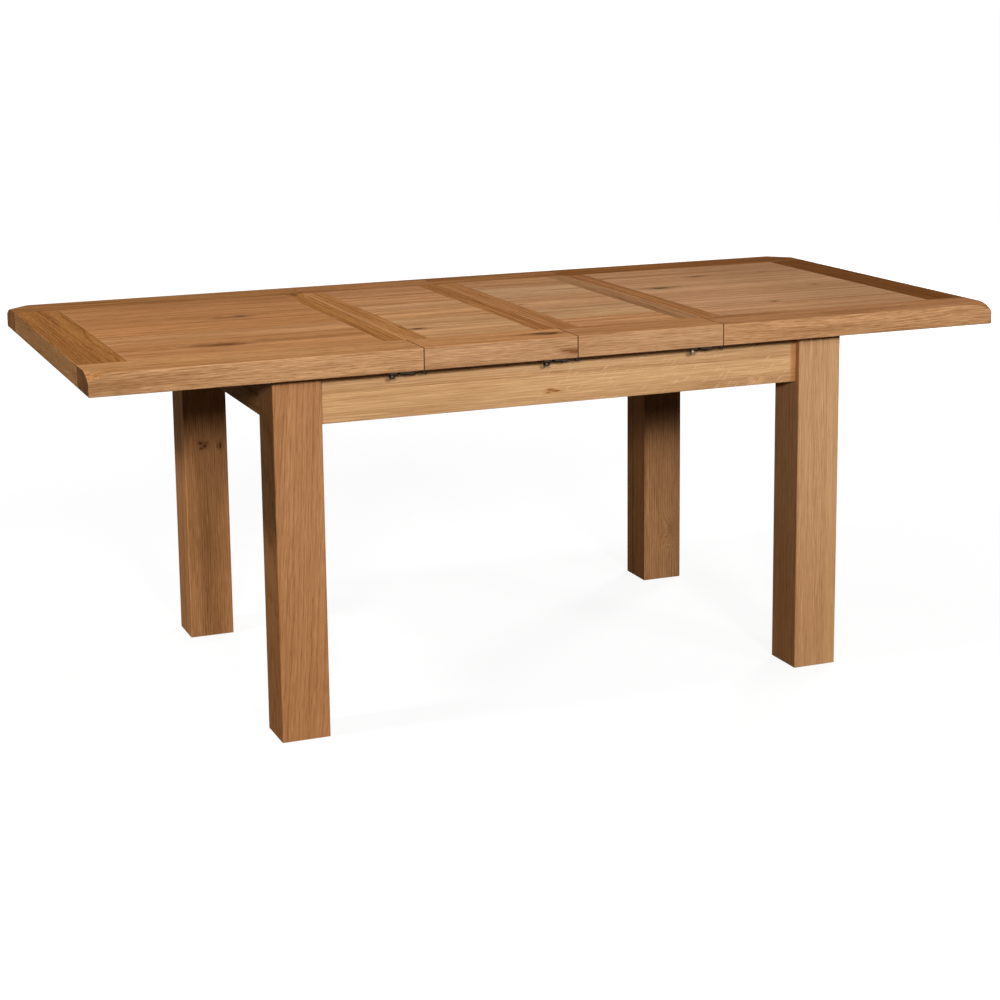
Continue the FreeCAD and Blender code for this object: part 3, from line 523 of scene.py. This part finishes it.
endApron = cut(grain="y", tone="#a87848", seed=27, rings=0.28, heart=(200, 50))
oakBoard("leg_front_left", frontLeftLeg)
oakBoard("leg_front_right", frontRightLeg)
oakBoard("leg_back_left", backLeftLeg)
oakBoard("leg_back_right", backRightLeg)
oakBoard("apron_front", frontApron)
oakBoard("apron_back", plainApron)
oakBoard("apron_left", endApron)
oakBoard("apron_right", endApron)
print("frame dressed in oak")

# Slides, bearers, braces and battens: planed beech, pale and even, left without lacquer.
slideWood = cut(tone="#c9a273", ring=3.0, rings=0.17, heart=(40, 120), streaks=0.35, pores=0.25)
slideSeed = 30  # the oak boards have the seeds below
for number, node in enumerate(sorted(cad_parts)):
    if node.startswith(("guide_rail", "cross_bearer", "corner_brace")) or "runner" in node or "batten" in node:
        low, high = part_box(node)
        lie = "y" if high.y - low.y > high.x - low.x else "x"
        if node.startswith("corner_brace"):
            lie = "rising" if node.endswith(("front_right", "back_left")) else "falling"
        oakBoard(node, {**slideWood, "grain": lie, "seed": slideSeed + number}, "planedBeech")
print("slides dressed in beech")


# Steel: the eye sees fine rubbing marks in the gloss and cloudy patches where the finish is worn.
platePattern = {"markDetail": 4.0, "markRoughness": 0.6, "smear": 8, "smearDetail": 2.0, "bump": 0.1, "relief": 0.05}
# the third seam's catch knobs: turned steel, bright nickel plate that mirrors the room softly
nickelLook = {"name": "nickelPlatedSteel", "colour": "#8a8076", "worn": "#5a524a",
              "roughness": (0.24, 0.42), "grit": 1.5}
# leg bolts, washers and screws: zinc plate with a bluish passivated film
zincLook = {"name": "zincPlatedSteel", "colour": "#b4b8bb", "worn": "#8f9499",
            "roughness": (0.28, 0.48), "grit": 2.0}
# catch plates, bars, keepers and other knobs: hardened steel, dark, bright only where it catches a lamp. The dark
# colour is partly painted shade, for the shade under the top that the steel mirrors; on the knobs at the first two
# seams, the same knobs as the nickel ones at the third seam, it is all painted shade
darkShadedSteelLook = {"name": "darkSteelPaintedShade", "colour": "#463d36", "worn": "#2f2823",
                 "roughness": (0.26, 0.46), "grit": 1.5}


def platedSteel(look):
    material, tree, shader = newMaterial(look["name"])
    place = addNode(tree, "ShaderNodeTexCoord").outputs["Object"]
    marks = addNode(tree, "ShaderNodeTexNoise", inputs={
        "Vector": place, "Scale": 1 / (look["grit"] * mm), "Detail": platePattern["markDetail"],
        "Roughness": platePattern["markRoughness"]}).outputs["Fac"]
    smear = addNode(tree, "ShaderNodeTexNoise", inputs={
        "Vector": place, "Scale": 1 / (platePattern["smear"] * look["grit"] * mm),
        "Detail": platePattern["smearDetail"]}).outputs["Fac"]
    colour = addNode(tree, "ShaderNodeMix", mixed, {
        0: smear, 6: linearColour(look["colour"]), 7: linearColour(look["worn"])}).outputs[2]
    gloss = addNode(tree, "ShaderNodeMapRange", inputs={
        "Value": marks, "To Min": look["roughness"][0], "To Max": look["roughness"][1]}).outputs[0]
    relief = addNode(tree, "ShaderNodeBump", inputs={
        "Strength": platePattern["bump"], "Distance": platePattern["relief"] * mm, "Height": marks}).outputs[0]
    tree.links.new(colour, shader.inputs["Base Color"])
    tree.links.new(gloss, shader.inputs["Roughness"])
    tree.links.new(relief, shader.inputs["Normal"])
    shader.inputs["Metallic"].default_value = 1.0
    return material


nickel = platedSteel(nickelLook)
darkShadedSteel = platedSteel(darkShadedSteelLook)
zinc = platedSteel(zincLook)
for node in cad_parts:
    if "catch" in node or "keepers" in node:
        dress(node, darkShadedSteel)
dress("leg_bolts", zinc)
print("fittings dressed in plated steel")


def finishPiece(name, bm, material, body):  # mesh from bmesh, in place, riding on its body
    bmesh.ops.recalc_face_normals(bm, faces=bm.faces)
    mesh = bpy.data.meshes.new(name)
    bm.to_mesh(mesh)
    bm.free()
    mesh.materials.append(material)
    piece = bpy.data.objects.new(name, mesh)
    bpy.context.scene.collection.objects.link(piece)
    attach(piece, body)
    return piece


# cross-recess screw heads, seen from below; the shares are of the head's radius
screwHead = {"sink": 1.5, "recess": 1.1, "domeShare": 0.06, "barShare": 0.17, "reachShare": 0.62, "cells": 10}


def addScrew(bm, x, y, z, radius):
    grid = bmesh.ops.create_grid(bm, x_segments=screwHead["cells"], y_segments=screwHead["cells"], size=1)["verts"]
    inCross = []
    for face in dict.fromkeys(face for vert in grid for face in vert.link_faces):  # each once, in order
        near, far = sorted(abs(c) for c in face.calc_center_median()[:2])
        if near < screwHead["barShare"] and far < screwHead["reachShare"]:
            inCross.append(face)
    for vert in grid:  # square grid drawn into a disc, a little domed
        u, v = vert.co.x, vert.co.y
        vert.co.x = u * math.sqrt(1 - v * v / 2)
        vert.co.y = v * math.sqrt(1 - u * u / 2)
        vert.co.z = screwHead["domeShare"] * (1 - vert.co.x ** 2 - vert.co.y ** 2)
    edges = dict.fromkeys(edge for vert in grid for edge in vert.link_edges)
    rim = [edge for edge in edges if edge.is_boundary]
    skirt = bmesh.ops.extrude_edge_only(bm, edges=rim)["geom"]
    skirtVerts = [part for part in skirt if isinstance(part, bmesh.types.BMVert)]
    for vert in skirtVerts:
        vert.co.z = -screwHead["sink"] / radius
    bottom = [part for part in skirt if isinstance(part, bmesh.types.BMEdge) and part.is_boundary]
    bmesh.ops.contextual_create(bm, geom=bottom)
    sunk = bmesh.ops.extrude_face_region(bm, geom=inCross)["geom"]
    sunkVerts = [part for part in sunk if isinstance(part, bmesh.types.BMVert)]
    bmesh.ops.delete(bm, geom=inCross, context="FACES")
    bmesh.ops.translate(bm, verts=sunkVerts, vec=(0, 0, -screwHead["recess"] / radius))
    faceDown = Matrix.Rotation(math.pi, 4, "X") @ Matrix.Scale(radius * mm, 4)
    bmesh.ops.transform(bm, matrix=Matrix.Translation(Vector((x, y, z)) * mm) @ faceDown,
                        verts=[vert for vert in grid + skirtVerts + sunkVerts if vert.is_valid])


leafWidth = 330
# each body's catch plate is at the seam on its right, and its keeper at the seam on its left
seams = {"left_top": -leafWidth, "leaf_1": 0, "leaf_2": leafWidth}
keeperSeams = {"leaf_1": -leafWidth, "leaf_2": 0, "right_top": leafWidth}
leafMiddles = {"leaf_1": -leafWidth / 2, "leaf_2": leafWidth / 2}
catchScrews = {"side": 435, "height": 732.98, "fromSeam": 6.6, "spread": 6.4, "radius": 2.1,
               "keeperFrom": (21, 31), "keeperRadius": 2.9}
woodScrews = {"radius": 4.2, "runnerAt": (527, 354), "leftRow": 221.5, "rightRow": 148.5, "runnerBottom": 684.9,
              "battenRows": (-300, 0, 300), "battenAt": 527.5, "battenBottom": 734.9,
              "leafAt": 100, "leafRow": 122, "leafBottom": 716.9,
              "guideAt": 300, "guideRow": 185, "guideBottom": 639.9}
screwBodies = {body: bmesh.new() for body in ("left_top", "right_top", "leaf_1", "leaf_2", "frame")}
for side in (-1, 1):
    rowY = side * catchScrews["side"]
    for body, seam in seams.items():
        for offset in (-1, 1):
            addScrew(screwBodies[body], seam - catchScrews["fromSeam"], rowY + offset * catchScrews["spread"],
                     catchScrews["height"], catchScrews["radius"])
    for body, seam in keeperSeams.items():
        for reach in catchScrews["keeperFrom"]:
            addScrew(screwBodies[body], seam + reach, rowY, catchScrews["height"], catchScrews["keeperRadius"])
    for along in woodScrews["runnerAt"]:
        addScrew(screwBodies["left_top"], -along, side * woodScrews["leftRow"],
                 woodScrews["runnerBottom"], woodScrews["radius"])
        addScrew(screwBodies["right_top"], along, side * woodScrews["rightRow"],
                 woodScrews["runnerBottom"], woodScrews["radius"])
    for along in (-1, 1):
        for body, middle in leafMiddles.items():
            addScrew(screwBodies[body], middle + along * woodScrews["leafAt"], side * woodScrews["leafRow"],
                     woodScrews["leafBottom"], woodScrews["radius"])
        addScrew(screwBodies["frame"], along * woodScrews["guideAt"], side * woodScrews["guideRow"],
                 woodScrews["guideBottom"], woodScrews["radius"])
for row in woodScrews["battenRows"]:
    for body, side in (("left_top", -1), ("right_top", 1)):
        addScrew(screwBodies[body], side * woodScrews["battenAt"], row,
                 woodScrews["battenBottom"], woodScrews["radius"])
for body, bm in screwBodies.items():
    finishPiece("screws_" + body, bm, zinc, body)
print("screws set")


weld = 0.01  # points of a turned piece that lie nearer than this become one


def turnProfile(look):  # a profile of radius and height, spun round the upright axis
    bm = bmesh.new()
    outline = [bm.verts.new(Vector((radius, 0, height)) * mm) for radius, height in look["profile"]]
    following = outline[1:] + outline[:1] if look["closed"] else outline[1:]
    edges = [bm.edges.new(pair) for pair in zip(outline, following)]
    bmesh.ops.spin(bm, geom=outline + edges, cent=(0, 0, 0), axis=(0, 0, 1), angle=2 * math.pi,
                   steps=look["steps"], use_merge=True)
    bmesh.ops.remove_doubles(bm, verts=bm.verts, dist=weld * mm)
    return bm


# washers between the leg bolts' heads and the corner braces
washer = {"x": 520, "y": 315, "z": 681, "steps": 40, "closed": True,
          "profile": [(7.5, 0), (12, 0), (12, 1.2), (11.5, 1.7), (7.5, 1.7)]}
corners = {"front_left": (-1, -1), "front_right": (1, -1), "back_right": (1, 1), "back_left": (-1, 1)}
for corner, (sideX, sideY) in corners.items():
    bm = turnProfile(washer)
    seat = Vector((sideX * washer["x"], sideY * washer["y"], washer["z"])) * mm
    facing = Vector((-sideX, -sideY, 0)).to_track_quat("Z", "Y").to_matrix().to_4x4()
    bmesh.ops.transform(bm, matrix=Matrix.Translation(seat) @ facing, verts=bm.verts)
    finishPiece("leg_washer_" + corner, bm, zinc, "frame")
print("washers set")

# turned knobs over the ends of the catch bars
knob = {"reach": 39, "pivotFromSeam": 20, "side": catchScrews["side"], "steps": 32, "closed": False,
        "bright": 3,  # the knobs at the other seams get the dark steel, as painted shade
        "profile": [(0, 718.9), (4.6, 719.0), (5.9, 719.7), (6.4, 721.4), (6.2, 723.2), (5.75, 724.8),
                    (5.75, 727.6), (0, 727.6)]}
for number, seam in enumerate(seams.values(), start=1):
    for side, rowY in (("front", -knob["side"]), ("back", knob["side"])):
        bm = turnProfile(knob)
        barEnd = Vector((seam - knob["pivotFromSeam"] - knob["reach"], rowY, 0)) * mm
        bmesh.ops.translate(bm, verts=bm.verts, vec=barEnd)
        # painted shade: the knobs away from the third seam take the dark steel
        piece = finishPiece("catch_knob_%d_%s" % (number, side), bm, nickel if number == knob["bright"] else darkShadedSteel,
                            "catch_bar_%d_%s" % (number, side))
        piece.data.polygons.foreach_set("use_smooth", [True] * len(piece.data.polygons))
print("knobs turned")

# studio: pale floor, white surround, two soft lamps in front, others from the right, the left, the far side and
# behind; turn is from the front towards the right, level is what a white card at the aim would show
studio = {"floorSize": 160000, "floorDrop": 0.5, "floorColour": "#484848", "floorGlow": (0.86, 1.0),
          "floorReach": (1600, 5000), "floorShow": 0.2, "ambient": 0.02}
lamps = {
    "front": {"turn": -4, "rise": 22, "level": 0.46, "distance": 9000, "size": 1300, "aim": (0, -200, 450)},
    "near": {"turn": -25, "rise": 18, "level": 0.42, "distance": 9000, "size": 1100, "aim": (0, -200, 450)},
    "right": {"turn": 30, "rise": 30, "level": 0.17, "distance": 7000, "size": 900, "aim": (0, -300, 500)},
    "left": {"turn": -85, "rise": 41, "level": 0.38, "distance": 5500, "size": 700, "aim": (-500, 0, 500)},
    "far": {"turn": 128, "rise": 9, "level": 0.75, "distance": 7000, "size": 1800, "aim": (0, 0, 450),
            "glossy": False},  # it faces the camera and would lay a haze on the top
    "behind": {"turn": -144, "rise": 28, "level": 0.12, "distance": 4800, "size": 2200, "aim": (0, 0, 500)},
}
for name, lamp in lamps.items():
    light = bpy.data.lights.new(name + "Lamp", "AREA")
    light.shape = "DISK"
    light.size = lamp["size"] * mm
    light.energy = lamp["level"] * (math.pi * lamp["distance"] * mm) ** 2
    turn, rise = math.radians(lamp["turn"]), math.radians(lamp["rise"])
    away = Vector((math.sin(turn) * math.cos(rise), -math.cos(turn) * math.cos(rise), math.sin(rise)))
    holder = bpy.data.objects.new(name + "Lamp", light)
    holder.location = (Vector(lamp["aim"]) + away * lamp["distance"]) * mm
    holder.rotation_euler = away.to_track_quat("Z", "Y").to_euler()
    holder.visible_glossy = lamp.get("glossy", True)
    bpy.context.scene.collection.objects.link(holder)


def seenRays(tree):  # 1 for what the camera sees, straight, mirrored or through glass; 0 for light on the pieces
    rays = addNode(tree, "ShaderNodeLightPath").outputs
    seen = rays["Is Camera Ray"]
    for kind in ("Is Glossy Ray", "Is Transmission Ray"):
        seen = addNode(tree, "ShaderNodeMath", {"operation": "MAXIMUM"}, {0: seen, 1: rays[kind]}).outputs[0]
    return seen


bm = bmesh.new()
bmesh.ops.create_grid(bm, x_segments=1, y_segments=1, size=studio["floorSize"] * mm / 2)
bmesh.ops.translate(bm, verts=bm.verts, vec=(0, 0, -studio["floorDrop"] * mm))
floorMesh = bpy.data.meshes.new("floor")
bm.to_mesh(floorMesh)
bm.free()
floor = bpy.data.objects.new("floor", floorMesh)
bpy.context.scene.collection.objects.link(floor)
floorMaterial, tree, shader = newMaterial("paintedFloor")  # matt paint, seen brighter than it lights the pieces
tree.nodes.remove(shader)
matt = addNode(tree, "ShaderNodeBsdfDiffuse", inputs={"Color": linearColour(studio["floorColour"])}).outputs[0]
faint = addNode(tree, "ShaderNodeBsdfDiffuse", inputs={"Color": (studio["floorShow"],) * 3 + (1,)}).outputs[0]
outward = addNode(tree, "ShaderNodeTexCoord").outputs["Object"]
outward = addNode(tree, "ShaderNodeVectorMath", {"operation": "LENGTH"}, {0: outward}).outputs["Value"]
outward = addNode(tree, "ShaderNodeMapRange", eased, {
    "Value": outward, "From Min": studio["floorReach"][0] * mm, "From Max": studio["floorReach"][1] * mm,
    "To Min": studio["floorGlow"][0], "To Max": studio["floorGlow"][1]}).outputs[0]
glow = addNode(tree, "ShaderNodeEmission", inputs={"Strength": outward}).outputs[0]
shown = addNode(tree, "ShaderNodeAddShader", inputs={0: faint, 1: glow}).outputs[0]
surface = addNode(tree, "ShaderNodeMixShader", inputs={0: seenRays(tree), 1: matt, 2: shown}).outputs[0]
tree.links.new(surface, tree.nodes["Material Output"].inputs["Surface"])
floorMesh.materials.append(floorMaterial)

world = bpy.data.worlds.new("studioWorld")
bpy.context.scene.world = world
world.use_nodes = True
tree = world.node_tree
brightness = addNode(tree, "ShaderNodeMapRange", inputs={
    "Value": seenRays(tree), "To Min": studio["ambient"], "To Max": 1.0}).outputs[0]
background = tree.nodes["Background"]
background.inputs["Color"].default_value = (1, 1, 1, 1)
tree.links.new(brightness, background.inputs["Strength"])

# camera solved from the photograph's straight edges; focal and centre are in pixels, the rest in mm and degrees
view = {"at": (-1713.9, -4290.8, 1484.2), "yaw": -21.663, "pitch": -10.409, "roll": -0.677,
        "focal": 2111.69, "centre": (489.71, 369.09), "pixels": 1000, "sensor": 36, "farthest": 100000}
yaw, pitch, roll = (math.radians(view[key]) for key in ("yaw", "pitch", "roll"))
forward = Vector((-math.sin(yaw) * math.cos(pitch), math.cos(yaw) * math.cos(pitch), math.sin(pitch)))
level = Vector((math.cos(yaw), math.sin(yaw), 0))
upright = level.cross(forward)
sideways = level * math.cos(roll) + upright * math.sin(roll)
upward = upright * math.cos(roll) - level * math.sin(roll)
lens = bpy.data.cameras.new("camera")
lens.sensor_width = view["sensor"]
lens.lens = view["focal"] / view["pixels"] * view["sensor"]
lens.shift_x = 0.5 - view["centre"][0] / view["pixels"]
lens.shift_y = view["centre"][1] / view["pixels"] - 0.5
lens.clip_end = view["farthest"] * mm
camera = bpy.data.objects.new("camera", lens)
camera.matrix_world = Matrix.Translation(Vector(view["at"]) * mm) @ Matrix(
    (sideways, upward, -forward)).transposed().to_4x4()
bpy.context.scene.collection.objects.link(camera)
bpy.context.scene.camera = camera
bpy.context.scene.view_settings.view_transform = "Standard"
print("studio lit")
